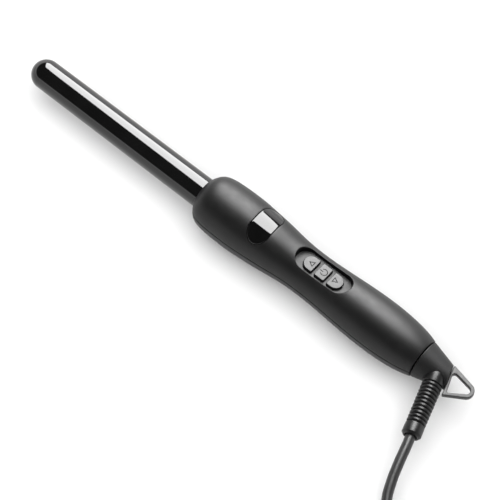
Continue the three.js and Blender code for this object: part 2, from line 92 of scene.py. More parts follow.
# The handle's outline, as (x, radius), and its direction at both ends.
HANDLE_PROFILE = [
    (0, 10.4), (1.5, 12.5), (3.8, 14.95), (7.9, 16.75), (13, 17.5), (22.8, 17.9), (31, 17.85),
    (40.5, 17.2), (54.7, 15.85), (64.1, 14.7), (78.1, 13.95), (92.1, 14.35), (110.6, 15.5),
    (129.1, 16), (142.7, 15.3), (151.8, 14.05), (SEAM_X, 12.1),
]
PROFILE_FRONT, PROFILE_REAR = (0.5, 0.87), (0.95, -0.31)
PROFILE_STEP = 0.12
FRONT_FACE_RADII = (9.0, 10.0)
REAR_FACE_RADIUS = 9.0
REAR_ROUND_START = 0.45  # before the rear edge
REAR_ROUND = 0.5
SHELL_WALL = 2.8
PARTING = 0.15  # half the gap between the two shells
PARTING_ROUND = 0.5

# The room inside the handle.
BARREL_CLEARANCE = 0.25
COLLAR_START, COLLAR_END, COLLAR_SEAT = 3.3, 20.8, 12.3
ROOM_START, ROOM_END = 25, 145
BUSH_WALL_X, BUSH_WALL_RADIUS, BUSH_BORE = 148.3, 11, 8.4
BEFORE_FRONT, BEYOND_REAR = -1, 160
BOSS_RADIUS = {1: 3.4, -1: 4.2}  # of the screw bosses in the upper and the lower shell
BOSS_HEIGHT = 15.0

LENS_CIRCLES = [(43.65, -6.2, 6.65), (43.65, 6.2, 6.65)]
LENS_THICKNESS = 1.4
LENS_SUNK = 0.04
LENS_EDGE = 0.28
LENS_MAP = (30, 70, 24)  # the part of the flat map that holds the lens
POCKET_LIP = 0.18
WINDOW_X, WINDOW_Z = (41, 46.3), (9, 30)  # the opening for the display, under the lens
WINDOW_HALF, WINDOW_CORNER, WINDOW_EDGE = 5.4, 2, 0.2

PANEL_X = 86.4
PANEL_CIRCLES = [(PANEL_X - 11.85, 0, 7.05), (PANEL_X + 11.85, 0, 7.05)]
PANEL_REACH = (19, 7)
PANEL_FLOOR_Z = 9.3
PANEL_UNDERSIDE_Z = 7.7
PANEL_WALL = 1.6
RECESS_LIP = 0.45
RECESS_FLOOR_EDGE = 0.4
BUTTON_HOLE_EDGE = 0.15
BUTTON_HOLE_Z = (6.0, 5.0)

BUTTON_TOP_Z = 11.2
BUTTON_HALF = 4.7
BUTTON_CORNER = 0.8
BUTTON_EDGE = 0.3
BUTTON_FOOT, BUTTON_FOOT_Z = 0.8, (6.6, 7.4)
BUTTON_SIDE_Z = 9.0
MARK_DEPTH = 0.14
MIDDLE_HALF = 3.3
END_START = MIDDLE_HALF + 2.2
END_ROUND = END_START + 7.8 - BUTTON_HALF
FINE = 0.45  # point spacing round the buttons

TRIANGLE_PLACE = 8.6
TRIANGLE_POINT, TRIANGLE_BASE, TRIANGLE_HALF, TRIANGLE_LINE = 1.8, 1.6, 1.95, 0.46
POWER_PLACE = 0.3
POWER_RADII, POWER_GAP = (2.25, 1.8), math.radians(40)
POWER_STEM, POWER_STEM_HALF = (2.75, 0.6), 0.23

SCREW_X = (57, 124)
SCREW_WELL_Z = -9.0
SCREW_WELL_LIP = 0.3
SCREW_WELL_RADIUS, SCREW_HOLE_RADIUS = 3.1, 1.5
SCREW_HOLE_END_Z = -1.0
SCREW_SPACING = 0.6
NEARLY_ROUND = 0.01  # half the distance between the two circles of a round outline

TAIL_ROLL = math.radians(6)
CONE_X = 160.0
CONE_RADIUS = 11.7
CONE_SLOPE = 4.8 / 18.5
CONE_STEPS = 96
CONE_FRONT = CONE_X + 0.5
CONE_MAP_LENGTH = 18  # of the cone's flat map
CONE_MAP_RADIUS = 9
CONE_SOCKET_DEPTH, CONE_SOCKET_RADIUS = 3.2, 9.3
END_ROUND_MM = 0.3
RELIEF_ROOT_X = 170.75
RELIEF_ANGLE = math.radians(73)
RELIEF_RISE = 1.6  # of the strain relief over the tail's middle plane
RELIEF_START = 2.8
RELIEF_LENGTH = 43.9
RELIEF_RADII = (6.0, 5.65)
RIB_START = 10.2
RIB_PITCH = 2.36
RIB_COUNT = 11
RIB_GROOVE = 0.5
RIB_DEPTH = 1.0
RIB_POINTS = 12
POCKET_RADIUS = RELIEF_RADII[0] + GAP
CAP_POCKET_LIP = 0.2
RING_STEPS = 64
CAP_END = RELIEF_RADII[0] + 0.9
LOOP_BASE = CAP_END + GAP
LOOP_HALF = 1.6
LOOP_EDGE = 0.4
# The loop's corners beside the strain relief, as (along it, above the loop's base, radius).
LOOP_LOWER, LOOP_UPPER = (12.9, 0.2, 0.5), (-5.2, 0.6, 0.6)
LOOP_APEX_Y, LOOP_APEX_RADIUS = 0.25, 4.75
EYE_LOWER, EYE_UPPER = (182.9, -7, 0.7), (180.2, 2.8, 1.6)
EYE_APEX_Y, EYE_APEX_RADIUS = 0.3, 2.45
TONGUE = ((-3.3, 2.6), (-1.5, 2.6), (-1.5, 7.6), (-3.3, 7.6))
TONGUE_CORNER, TONGUE_EDGE, TONGUE_THINNER = 0.3, 0.2, 0.1

CORD_RADIUS = 3.0

# ---- frames

WAND = Matrix.Scale(MM, 4) @ Matrix.Translation((RIM_X, 0, AXIS_Z))
TAIL = WAND @ Matrix.Rotation(TAIL_ROLL, 4, "X")
RELIEF_ROOT = Vector((RELIEF_ROOT_X, 0, RELIEF_RISE))
RELIEF = TAIL @ Matrix.Translation(RELIEF_ROOT) @ Matrix.Rotation(-RELIEF_ANGLE, 4, "Z")
TABLE = Matrix.Scale(MM, 4)

# ---- camera

CAMERA_DIRECTION = Vector((0.26, -0.4607, 0.8486))  # from the object to the camera
CAMERA_UP = Vector((-0.5838, 0.6253, 0.5185))
CAMERA_AIM = Vector((0.0096, -0.00863, 0.01321))
CAMERA_DISTANCE = 1.485
CAMERA_LENS = 187.2


def make_camera():
    data = bpy.data.cameras.new("camera")
    data.lens = CAMERA_LENS
    data.sensor_width = 36
    data.clip_start = 0.05
    data.clip_end = 60
    camera = bpy.data.objects.new("camera", data)
    back = CAMERA_DIRECTION.normalized()
    right = CAMERA_UP.cross(back).normalized()
    turn = Matrix((right, back.cross(right), back)).transposed()
    camera.matrix_world = Matrix.Translation(CAMERA_AIM + CAMERA_DISTANCE * back) @ turn.to_4x4()
    bpy.context.scene.collection.objects.link(camera)
    bpy.context.scene.camera = camera


# ---- materials


def add_node(tree, kind, **inputs):
    """A new node, with its inputs set to values or linked to sockets."""
    node = tree.nodes.new("ShaderNode" + kind)
    for name, value in inputs.items():
        socket = node.inputs[name.replace("_", " ")]
        if isinstance(value, bpy.types.NodeSocket):
            tree.links.new(value, socket)
        else:
            socket.default_value = value
    return node


class Look:
    """A Principled material, built up with procedural detail in the object's own space."""

    def __init__(self, name, colour, roughness, **sockets):
        self.material = bpy.data.materials.new(name)
        self.material.use_nodes = True
        self.tree = self.material.node_tree
        self.shader = self.tree.nodes["Principled BSDF"]
        self.place = self.tree.nodes.new("ShaderNodeTexCoord").outputs["Object"]
        self.normal = None
        self.shader.inputs["Base Color"].default_value = (*colour, 1)
        self.shader.inputs["Roughness"].default_value = roughness
        for socket, value in sockets.items():
            self.shader.inputs[socket.replace("_", " ")].default_value = value

    def noise(self, grain_mm, detail=3.0, stretch=(1, 1, 1)):
        place = add_node(self.tree, "Mapping", Vector=self.place, Scale=stretch).outputs["Vector"]
        scale = 1 / (grain_mm * MM)
        return add_node(self.tree, "TexNoise", Vector=place, Scale=scale, Detail=detail).outputs["Fac"]

    def cells(self, grain_mm):
        scale = 1 / (grain_mm * MM)
        return add_node(self.tree, "TexVoronoi", Vector=self.place, Scale=scale).outputs["Distance"]

    def roughness(self, value, low, high):
        node = add_node(self.tree, "MapRange", Value=value, From_Min=0.3, From_Max=0.7,
                        To_Min=low, To_Max=high)
        self.tree.links.new(node.outputs["Result"], self.shader.inputs["Roughness"])
        return self

    def colours(self, value, low, high):
        node = add_node(self.tree, "ValToRGB", Fac=value)
        set_ramp(node.color_ramp, (0.35, 0.65), (low, high))
        self.tree.links.new(node.outputs["Color"], self.shader.inputs["Base Color"])
        return self

    def bump(self, value, depth_mm, strength=1.0):
        node = add_node(self.tree, "Bump", Height=value, Strength=strength, Distance=depth_mm * MM)
        if self.normal:
            self.tree.links.new(self.normal, node.inputs["Normal"])
        self.normal = node.outputs["Normal"]
        self.tree.links.new(self.normal, self.shader.inputs["Normal"])
        return self


def set_ramp(ramp, places, colours):
    for element, place, colour in zip(ramp.elements, places, colours):
        element.position = place
        element.color = (*colour, 1)


def grey(value):
    return (value, value, value)


def soft_touch():
    look = Look("soft_touch_black", grey(0.002), 0.46, Specular_IOR_Level=0.36)
    look.colours(look.noise(9), grey(0.0016), grey(0.0026))
    look.roughness(look.noise(4), 0.43, 0.49)
    return look.bump(look.noise(0.16, 2), 0.012, 0.35)


def gloss_ceramic():
    look = Look("gloss_black_ceramic", grey(0.004), 0.06, IOR=1.52)
    look.colours(look.noise(14), grey(0.0010), grey(0.0020))
    look.roughness(look.noise(6, 4, (0.2, 1, 1)), 0.035, 0.075)
    return look.bump(look.noise(2.6, 1), 0.006, 0.25)


def smoked_lens():
    look = Look("smoked_lens", grey(0.003), 0.03, IOR=1.5)
    look.colours(look.noise(8), grey(0.0006), grey(0.0011))
    return look.roughness(look.noise(5), 0.015, 0.04)


def button_plastic():
    look = Look("button_satin_black", grey(0.012), 0.34, Specular_IOR_Level=0.4)
    look.colours(look.noise(3), grey(0.010), grey(0.014))
    look.roughness(look.noise(1.2), 0.31, 0.38)
    return look.bump(look.noise(0.12, 2), 0.008, 0.3)


# The floors of the engraved marks, darker and duller than the button: painted shade in the grooves.
def engraving_shade_fill():
    look = Look("button_engraving_shade", grey(0.004), 0.8, Specular_IOR_Level=0.05)
    look.colours(look.noise(0.5), grey(0.003), grey(0.006))
    return look.roughness(look.noise(0.4), 0.6, 0.8)


def textured_plastic():
    look = Look("spark_eroded_black", grey(0.003), 0.5, Specular_IOR_Level=0.36)
    look.colours(look.noise(0.5), grey(0.0024), grey(0.0040))
    look.roughness(look.noise(0.45), 0.4, 0.62)
    look.bump(look.noise(0.5, 3), 0.09, 1.0)
    return look.bump(look.cells(0.3), 0.02, 0.4)


def flexible_plastic():
    look = Look("flexible_black", grey(0.003), 0.38, Specular_IOR_Level=0.38)
    look.colours(look.noise(5), grey(0.0024), grey(0.0040))
    look.roughness(look.noise(1.5), 0.33, 0.42)
    return look.bump(look.noise(0.3, 3), 0.012, 0.35)


def cord_sheath():
    look = Look("cord_sheath", grey(0.012), 0.42)
    look.colours(look.noise(6), grey(0.010), grey(0.015))
    look.roughness(look.noise(2), 0.37, 0.48)
    return look.bump(look.noise(0.5, 2), 0.015, 0.3)


def tie_strap():
    look = Look("tie_strap", grey(0.02), 0.8, Sheen_Weight=0.3)
    look.colours(look.noise(0.5), grey(0.014), grey(0.03))
    return look.bump(look.cells(0.45), 0.15, 0.8)


def metal(name, colour, low, high):
    look = Look(name, colour, low, Metallic=1.0)
    look.colours(look.noise(1.5), [0.93 * c for c in colour], colour)
    look.roughness(look.noise(0.5, 3, (1, 0.15, 1)), low, high)
    return look.bump(look.noise(0.2, 2), 0.004, 0.2)


def plain(name, low, high, roughness, grain_mm=1.0):
    look = Look(name, low, roughness)
    look.colours(look.noise(grain_mm), low, high)
    look.roughness(look.noise(grain_mm / 2), roughness - 0.06, roughness + 0.06)
    return look.bump(look.noise(grain_mm / 4, 2), 0.01, 0.3)


# The materials of the record's slots.
LOOKS = {
    "soft_touch": soft_touch(),
    "ceramic_coating": gloss_ceramic(),
    "smoked_lens": smoked_lens(),
    "button_plastic": button_plastic(),
    "textured_plastic": textured_plastic(),
    "flexible_plastic": flexible_plastic(),
    "cord_sheath": cord_sheath(),
}
METALS = {
    "nickel": ((0.70, 0.68, 0.64), 0.16, 0.3),
    "bare_aluminium": ((0.72, 0.72, 0.73), 0.3, 0.45),
    "contact_brass": ((0.78, 0.58, 0.26), 0.2, 0.35),
}
INSIDE_MATERIALS = {
    "ceramic_white": ((0.78, 0.76, 0.71), (0.86, 0.84, 0.8), 0.6),
    "wire_sleeve": ((0.42, 0.04, 0.03), (0.5, 0.06, 0.04), 0.5, 0.6),
    "circuit_board": ((0.02, 0.13, 0.06), (0.04, 0.18, 0.09), 0.4, 2),
    "cream_plastic": ((0.66, 0.61, 0.46), (0.72, 0.67, 0.52), 0.45),
    "phenolic": ((0.045, 0.036, 0.03), (0.06, 0.048, 0.04), 0.55),
}
LOOKS.update({slot: metal(slot, *values) for slot, values in METALS.items()})
LOOKS.update({slot: plain(slot, *values) for slot, values in INSIDE_MATERIALS.items()})
# The painted shade for the floors of the engraved marks.
ENGRAVING_SHADE = engraving_shade_fill()
STRAP = tie_strap()

# ---- curves


def ease(start, corner, end, steps=4):
    """Points round a corner, from start to end."""
    start, corner, end = Vector(start), Vector(corner), Vector(end)
    parts = [i / steps for i in range(steps + 1)]
    return [(1 - t) ** 2 * start + 2 * t * (1 - t) * corner + t ** 2 * end for t in parts]


def rounded(corners, steps=4):
    """A profile of (x, y, radius) corners, each rounded with its own radius."""
    points = []
    for i, (x, y, radius) in enumerate(corners):
        here = Vector((x, y))
        if not radius:
            points.append(here)
            continue
        before = (Vector(corners[i - 1][:2]) - here).normalized()
        after = (Vector(corners[(i + 1) % len(corners)][:2]) - here).normalized()
        reach = radius / math.tan(before.angle(after) / 2)
        points += ease(here + reach * before, here, here + reach * after, steps)
    return points


def around(circles, offset=0.0, spacing=0.7):
    """The outline round circles (x, y, radius), anticlockwise, grown by an offset."""
    count = len(circles)
    sides = []
    for i, (x, y, radius) in enumerate(circles):
        next_x, next_y, next_radius = circles[(i + 1) % count]
        length = math.hypot(next_x - x, next_y - y)
        turn = math.acos((radius - next_radius) / length)
        sides.append((math.atan2(next_y - y, next_x - x) - turn, length))
    points = []
    for i, (x, y, radius) in enumerate(circles):
        first, (last, length) = sides[i - 1][0], sides[i]
        sweep = (last - first) % (2 * math.pi)
        steps = max(4, math.ceil(sweep * (radius + 0.5) / spacing))
        for k in range(steps + 1):
            angle = first + sweep * k / steps
            points.append(Vector((x + (radius + offset) * math.cos(angle),
                                  y + (radius + offset) * math.sin(angle))))
        next_x, next_y, next_radius = circles[(i + 1) % count]
        end = Vector((next_x + (next_radius + offset) * math.cos(last),
                      next_y + (next_radius + offset) * math.sin(last)))
        steps = max(1, round(length / spacing))
        points += [points[-1].lerp(end, k / steps) for k in range(1, steps)]
    return points


def clamped_spline(points, first, last, step):
    """A smooth curve through points, with its direction given at both ends."""
    points = np.array(points, float)
    chord = np.linalg.norm(np.diff(points, axis=0), axis=1)
    count = len(points)
    system = np.zeros((count, count))
    right = np.zeros((count, 2))
    system[0, 0] = system[-1, -1] = 1
    right[0], right[-1] = first, last
    for i in range(1, count - 1):
        a, b = chord[i - 1], chord[i]
        system[i, i - 1:i + 2] = b, 2 * (a + b), a
        before, after = (points[i] - points[i - 1]) / a, (points[i + 1] - points[i]) / b
        right[i] = 3 * (b * before + a * after)
    slopes = np.linalg.solve(system, right)
    curve = []
    for i in range(count - 1):
        steps = max(2, math.ceil(chord[i] / step))
        for t in np.arange(steps) / steps:
            curve.append((1 + 2 * t) * (1 - t) ** 2 * points[i] + t ** 2 * (3 - 2 * t) * points[i + 1]
                         + chord[i] * t * (1 - t) * ((1 - t) * slopes[i] - t * slopes[i + 1]))
    return np.array([*curve, points[-1]])


# ---- surfaces
#
# A sheet is (points, faces). A piece is made of sheets whose edges meet.


def strips(rows, closed=True):
    """Quads between rows of the same number of points."""
    wide = len(rows[0])
    points = [Vector(p) for row in rows for p in row]
    around_row = range(wide if closed else wide - 1)
    faces = [(r * wide + i, r * wide + (i + 1) % wide, (r + 1) * wide + (i + 1) % wide, (r + 1) * wide + i)
             for r in range(len(rows) - 1) for i in around_row]
    return points, faces


def lid(row):
    return [Vector(p) for p in row], [tuple(range(len(row)))]


def lathe(profile, sides=96):
    """A profile of (x, radius) turned about the x axis."""
    angles = [2 * math.pi * i / sides for i in range(sides)]
    return strips([[(x, r * math.cos(a), r * math.sin(a)) for a in angles] for x, r in profile])


def quarter_turn(steps):
    """Angles from nothing to a right angle."""
    return [math.pi / 2 * k / steps for k in range(steps + 1)]


def inside(points, loop):
    """Which of the points lie inside a closed outline."""
    x, y = points[:, 0], points[:, 1]
    found = np.zeros(len(points), bool)
    for (x0, y0), (x1, y1) in zip(loop, np.roll(loop, -1, axis=0)):
        if y0 == y1:
            continue
        crosses = ((y0 > y) != (y1 > y)) & (x < x0 + (y - y0) * (x1 - x0) / (y1 - y0))
        found ^= crosses
    return found


def fill(outer, holes, inner, lift, clear=0.4):
    """Triangles over an outline with holes and inner points, lifted from the plane by lift(u, v)."""
    loops = [np.array([tuple(p) for p in loop], float) for loop in (outer, *holes)]
    edges = []
    start = 0
    for loop in loops:
        count = len(loop)
        edges += [(start + i, start + (i + 1) % count) for i in range(count)]
        start += count
    border = np.concatenate(loops)
    if len(inner):
        inner = np.array([tuple(p) for p in inner], float)
        keep = inside(inner, loops[0])
        for hole in loops[1:]:
            keep &= ~inside(inner, hole)
        for i in range(0, len(border), 200):
            gaps = np.linalg.norm(inner[:, None] - border[None, i:i + 200], axis=2)
            keep &= gaps.min(axis=1) > clear
        border = np.concatenate([border, inner[keep]])
    found = delaunay_2d_cdt([Vector(p) for p in border], edges, [], 0, 1e-6)
    flat = np.array([tuple(p) for p in found[0]])
    faces = np.array([tuple(f) for f in found[2]])
    middles = flat[faces].mean(axis=1)
    keep = inside(middles, loops[0])
    for hole in loops[1:]:
        keep &= ~inside(middles, hole)
    return [Vector(lift(u, v)) for u, v in flat], [tuple(int(i) for i in f) for f in faces[keep]]


def level(z):
    """A lift to one height, for fill."""
    return lambda x, y: (x, y, z)


def at_level(loop, z):
    return [(x, y, z) for x, y in loop]


def stack(circles, steps, spacing=0.7):
    """Walls through steps of (offset, z) round an outline."""
    return strips([at_level(around(circles, offset, spacing), z) for offset, z in steps])


def slab(circles, low, high, edge):
    """A flat body of an outline, with round edges."""
    steps = [(-edge, low), *ease((-edge, low), (0, low), (0, low + edge)),
             *ease((0, high - edge), (0, high), (-edge, high))]
    inner = around(circles, -edge)
    return [stack(circles, steps),
            fill(inner, [], [], level(low)), fill(inner, [], [], level(high))]


def box_corners(low_x, high_x, half, radius):
    """Circles at the corners of a box in the plane, anticlockwise."""
    return [(low_x, -half, radius), (high_x, -half, radius), (high_x, half, radius), (low_x, half, radius)]


def round_outline(x, radius):
    """A circle on the handle's middle line, as an outline for around."""
    return [(x - NEARLY_ROUND, 0, radius), (x + NEARLY_ROUND, 0, radius)]


# ---- pieces

WELD_MM = 0.002
SHARP_ANGLE = math.radians(32)


def raw_mesh(name, sheets, where, weld_mm=WELD_MM):
    """One mesh of sheets, welded where they meet. A sheet may end with a material number."""
    mesh = bpy.data.meshes.new(name)
    points, faces, numbers = [], [], []
    for sheet in sheets:
        base = len(points)
        points += [where @ p for p in sheet[0]]
        faces += [[base + i for i in face] for face in sheet[1]]
        numbers += [sheet[2] if len(sheet) > 2 else 0] * len(sheet[1])
    mesh.from_pydata(points, [], faces)
    mesh.polygons.foreach_set("material_index", numbers)
    work = bmesh.new()
    work.from_mesh(mesh)
    bmesh.ops.remove_doubles(work, verts=work.verts, dist=weld_mm * MM)
    bmesh.ops.dissolve_degenerate(work, edges=work.edges, dist=weld_mm * MM / 4)
    bmesh.ops.recalc_face_normals(work, faces=work.faces)
    work.to_mesh(mesh)
    work.free()
    return mesh


def new_object(name, data):
    made = bpy.data.objects.new(name, data)
    bpy.context.scene.collection.objects.link(made)
    return made


def cut(mesh, cutters):
    """The mesh less the cutter meshes."""
    target = new_object("cut_target", mesh)
    for cutter in cutters:
        tool = new_object("cut_tool", cutter)
        modifier = target.modifiers.new("cut", "BOOLEAN")
        modifier.operation = "DIFFERENCE"
        modifier.solver = "EXACT"
        modifier.object = tool
        bpy.context.view_layer.update()
        evaluated = target.evaluated_get(bpy.context.evaluated_depsgraph_get())
        done = bpy.data.meshes.new_from_object(evaluated)
        target.modifiers.clear()
        target.data = done
        bpy.data.objects.remove(tool)
    made = target.data
    bpy.data.objects.remove(target)
    return made


def piece(name, mesh, slot, body, nodes=(), looks=()):
    """A visible piece: its mesh, the record's slot that it is made of, and the body it rides on."""
    made = new_object(name, mesh)
    for look in looks or [LOOKS[slot]]:
        mesh.materials.append(look.material)
    mesh.shade_smooth()
    mesh.set_sharp_from_angle(angle=SHARP_ANGLE)
    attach(made, body)
    if nodes:
        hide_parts(*nodes)
    return made


# ---- cord

# From the strain relief down to the table and along it to the coil.
LEAD_ROUTE = [
    (150.7, -39.6, 15.35), (151.45, -42, 15.1), (153.1, -47.2, 14.5), (156, -57.6, 12.6),
    (159.8, -69, 9.8), (164.5, -78.6, 7.2), (171.8, -86.3, 5.2), (181.2, -91.3, 3.8),
    (192.3, -93.1, 3.2), (206, -93.1, 3.05), (220, -93.1, 3.05), (234, -93.1, 3.05),
    (247, -93.1, 3.05), (260, -93.05, 3.05),
]
# From the top of the coil to the plug.
TAIL_ROUTE = [
    (280.5, -76.8, 15.4), (287.6, -73.7, 18.2), (293.5, -68.9, 20.9), (297.6, -62.2, 22.9),
    (299.6, -56, 24.1), (300, -50.4, 24.4), (300, -46, 24.4),
]
COIL_LAYERS = [((45, 39, 33, 27), 3.05), ((30, 36, 42), 8.25), ((42, 36, 30), 14.2)]
COIL_STEPS = 24
CROSSING = (0.58, 0.97)  # the part of each turn in which it moves over to the next one
CROSSING_RISE = 0.85
CROSSING_UP, CROSSING_DOWN = (0.5, 0.64), (0.88, 1.0)  # the parts in which it rises and comes down


def smooth_step(value, low, high):
    t = min(1, max(0, (value - low) / (high - low)))
    return t * t * (3 - 2 * t)


def coil_route():
    """The turns of the coil, layer on layer, anticlockwise from its nearest point."""
    centre = (coil_low + coil_high) / 2
    turns = [(radius, z) for radii, z in COIL_LAYERS for radius in radii]
    points = []
    for i, (radius, z) in enumerate(turns):
        next_radius, next_z = turns[min(i + 1, len(turns) - 1)]
        lift = CROSSING_RISE if z > COIL_LAYERS[0][1] else 0
        for k in range(COIL_STEPS):
            part = k / COIL_STEPS
            share = smooth_step(part, *CROSSING)
            hump = smooth_step(part, *CROSSING_UP) * (1 - smooth_step(part, *CROSSING_DOWN))
            angle = 2 * math.pi * (part - 0.25)
            r = radius + (next_radius - radius) * share
            points.append((centre.x + r * math.cos(angle), centre.y + r * math.sin(angle),
                           z + (next_z - z) * share + lift * hump))
    radius, z = turns[-1]
    return [*points, (centre.x, centre.y - radius, z)]


def make_cord(with_pieces):
    curve = bpy.data.curves.new("cord", "CURVE")
    curve.dimensions = "3D"
    curve.bevel_depth = CORD_RADIUS * MM
    curve.bevel_resolution = 7
    curve.resolution_u = 5
    curve.use_fill_caps = True
    spline = curve.splines.new("BEZIER")
    route = [Vector(p) * MM for p in (*LEAD_ROUTE, *coil_route(), *TAIL_ROUTE)]
    spline.bezier_points.add(len(route) - 1)
    for knot, place in zip(spline.bezier_points, route):
        knot.co = place
        knot.handle_left_type = knot.handle_right_type = "AUTO"
    cord = new_object("mains_cord", curve)
    curve.materials.append(LOOKS["cord_sheath"].material)
    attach(cord, "tail")
    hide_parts("cord_lead", "cord_coil", "cord_tail")


def strain_relief():
    """A smooth head, round ribs, and a collar hollowed where the cord leaves."""
    head, end = RELIEF_RADII
    taper = (end - head) / RELIEF_LENGTH
    profile = [(0.6, 0), (0.6, 4), (RELIEF_START, 4)]
    head_end, groove = RIB_START - 0.8, RIB_START - RIB_GROOVE / 2
    profile += rounded([(RELIEF_START, 5.5, 0), (RELIEF_START, head, 0.3), (head_end, head, 0)])[:-1]
    profile += ease((head_end, head), (groove, head), (groove, head - RIB_DEPTH))
    half = (RIB_PITCH - RIB_GROOVE) / 2
    for rib in range(RIB_COUNT):
        middle = RIB_START + (rib + 0.5) * RIB_PITCH
        for k in range(RIB_POINTS + 1):
            angle = math.pi * k / RIB_POINTS
            radius = head + taper * middle - RIB_DEPTH + RIB_DEPTH * math.sin(angle) ** 0.5
            profile.append((middle - half * math.cos(angle), radius))
    last = RIB_START + RIB_COUNT * RIB_PITCH
    groove = last + RIB_GROOVE / 2
    profile += ease((groove, end - RIB_DEPTH), (groove, end), (last + 0.9, end + 0.02))
    profile += rounded([(last + 0.9, end + 0.02, 0), (RELIEF_LENGTH - 1.3, end + 0.1, 0.4),
                        (RELIEF_LENGTH, end - 1.0, 0.25), (RELIEF_LENGTH, CORD_RADIUS + 0.75, 0.25),
                        (RELIEF_LENGTH - 2.6, CORD_RADIUS + 0.35, 0)])
    profile.append((RELIEF_LENGTH - 2.6, 0))
    mesh = raw_mesh("strain_relief_fine", [lathe(profile, 72)], RELIEF)
    return piece("strain_relief_boot", mesh, "flexible_plastic", "tail", ["strain_relief"])


PLUG_SLEEVE_SHOWS = 12
PLUG_WAIST_HALF, PLUG_WIDE_HALF = 3.4, 13.6
PLUG_EDGE = 1.6
SLEEVE_RIBS, SLEEVE_PITCH, SLEEVE_TAPER, SLEEVE_RADIUS = 4, 2.6, 0.12, 4.3
PIN_SLEEVE_SHARE, PIN_SLEEVE_WALL = 0.53, 0.15


def plug_body():
    """A flat moulded plug, wide at its pins, and a ribbed sleeve on the cord behind it."""
    x = (plug_low.x + plug_high.x) / 2
    z = (plug_low.z + plug_high.z) / 2
    half = (plug_high.z - plug_low.z) / 2
    back, front = plug_low.y + PLUG_SLEEVE_SHOWS, plug_high.y
    waist, wide = PLUG_WAIST_HALF, PLUG_WIDE_HALF
    circles = [(x - waist, back + 3, 3), (x + waist, back + 3, 3), (x + wide, front - 12, 4),
               (x + wide, front - 4, 4), (x - wide, front - 4, 4), (x - wide, front - 12, 4)]
    mesh = raw_mesh("plug_fine", slab(circles, z - half, z + half, PLUG_EDGE), TABLE)
    body = piece("plug_moulding", mesh, "flexible_plastic", "tail", ["plug_body"])
    profile = [(0, 0), (0, 3.2), (0.25, 3.6)]
    for rib in range(SLEEVE_RIBS):
        start, groove = 0.6 + SLEEVE_PITCH * rib, 3.7 + SLEEVE_TAPER * rib
        profile += ease((start, groove), (start + 0.2, 4.25), (start + 0.9, SLEEVE_RADIUS))
        profile += ease((start + 1.1, SLEEVE_RADIUS), (start + 1.8, 4.25), (start + 2.0, groove))
    profile += [(11.4, SLEEVE_RADIUS), (14.5, 4.4), (14.5, 0)]
    sleeve_frame = TABLE @ Matrix.Translation((x, plug_low.y, z)) @ Matrix.Rotation(math.pi / 2, 4, "Z")
    sleeve = piece("plug_sleeve", raw_mesh("plug_sleeve", [lathe(profile, 48)], sleeve_frame),
                   "flexible_plastic", "tail")
    return body, sleeve


def plug_pin(node):
    """A round pin with a rounded end and an insulating sleeve next to the plug."""
    low, high = box_mm(node)
    radius, long = (high.x - low.x) / 2, high.y - low.y
    bare, step = radius - PIN_SLEEVE_WALL, long * PIN_SLEEVE_SHARE
    sleeve = rounded([(0, 0, 0), (0, radius, 0.1), (step, radius, 0.1), (step, bare, 0)])
    tip = rounded([(step, bare, 0), (long - 1.6, bare, 0.5), (long, radius - 1.3, 0.5), (long, 0, 0)])
    frame_of_pin = TABLE @ Matrix.Translation(((low.x + high.x) / 2, low.y, (low.z + high.z) / 2))
    sheets = [(*lathe(sleeve, 32), 1), lathe(tip, 32)]
    mesh = raw_mesh(node + "_fine", sheets, frame_of_pin @ Matrix.Rotation(math.pi / 2, 4, "Z"))
    return piece(node.replace("plug", "contact"), mesh, "nickel", "tail", [node],
                 looks=[LOOKS["nickel"], LOOKS["flexible_plastic"]])


def cord_tie():
    """A soft strap over the turns, down both sides of the coil."""
    low, high = box_mm("cord_tie")
    half = (high.x - low.x) / 2
    thick, bend, bevel, steps = 0.8, 4.5, 0.3, 8
    outer = rounded([(low.y, low.z, 0), (low.y, high.z, bend), (high.y, high.z, bend), (high.y, low.z, 0)],
                    steps)
    inner = rounded([(low.y + thick, low.z, 0), (low.y + thick, high.z - thick, bend - thick),
                     (high.y - thick, high.z - thick, bend - thick), (high.y - thick, low.z, 0)], steps)
    x = (low.x + high.x) / 2
    section = [(x - half, 0.5), (x - half + bevel, 0.0), (x + half - bevel, 0.0),
               (x + half, 0.5), (x + half - bevel, 1.0), (x - half + bevel, 1.0)]
    rows = []
    for (y0, z0), (y1, z1) in zip(outer, inner):
        rows.append([(sx, y0 + (y1 - y0) * t, z0 + (z1 - z0) * t) for sx, t in section])
    mesh = raw_mesh("cord_tie_fine", [strips(rows), lid(rows[0]), lid(rows[-1])], TABLE)
    return piece("cord_tie_strap", mesh, "flexible_plastic", "tail", ["cord_tie"], looks=[STRAP])


# ---- handle

spline = clamped_spline(HANDLE_PROFILE, PROFILE_FRONT, PROFILE_REAR, PROFILE_STEP)
spline_s = np.concatenate([[0], np.cumsum(np.linalg.norm(np.diff(spline, axis=0), axis=1))])
HANDLE_LENGTH = spline_s[np.searchsorted(spline[:, 0], SEAM_X - REAR_ROUND_START)]
ACROSS = 25.0  # half the width of the flat map of one shell
ACROSS_POINTS = 59
FINE_FRONT, FINE_FRONT_STEP = 6, 0.4  # the map's rows are closer up to this length
LENGTH_POINTS = 172


def profile_at(s):
    """The handle's (x, radius) at a length along its outline from the front rim."""
    return float(np.interp(s, spline_s, spline[:, 0])), float(np.interp(s, spline_s, spline[:, 1]))


def radius_at(x):
    return float(np.interp(x, spline[:, 0], spline[:, 1]))


def edge_angle(radius):
    """The angle from the top at which the surface turns into the parting edge."""
    return math.acos((PARTING + PARTING_ROUND) / radius)


def to_map(x, y, depth=0.0):
    """A place on the handle, seen from above, on the shell's flat map."""
    radius = radius_at(x)
    angle = math.asin(max(-1, min(1, y / (radius - depth))))
    return float(np.interp(x, spline[:, 0], spline_s)), ACROSS * angle / edge_angle(radius)


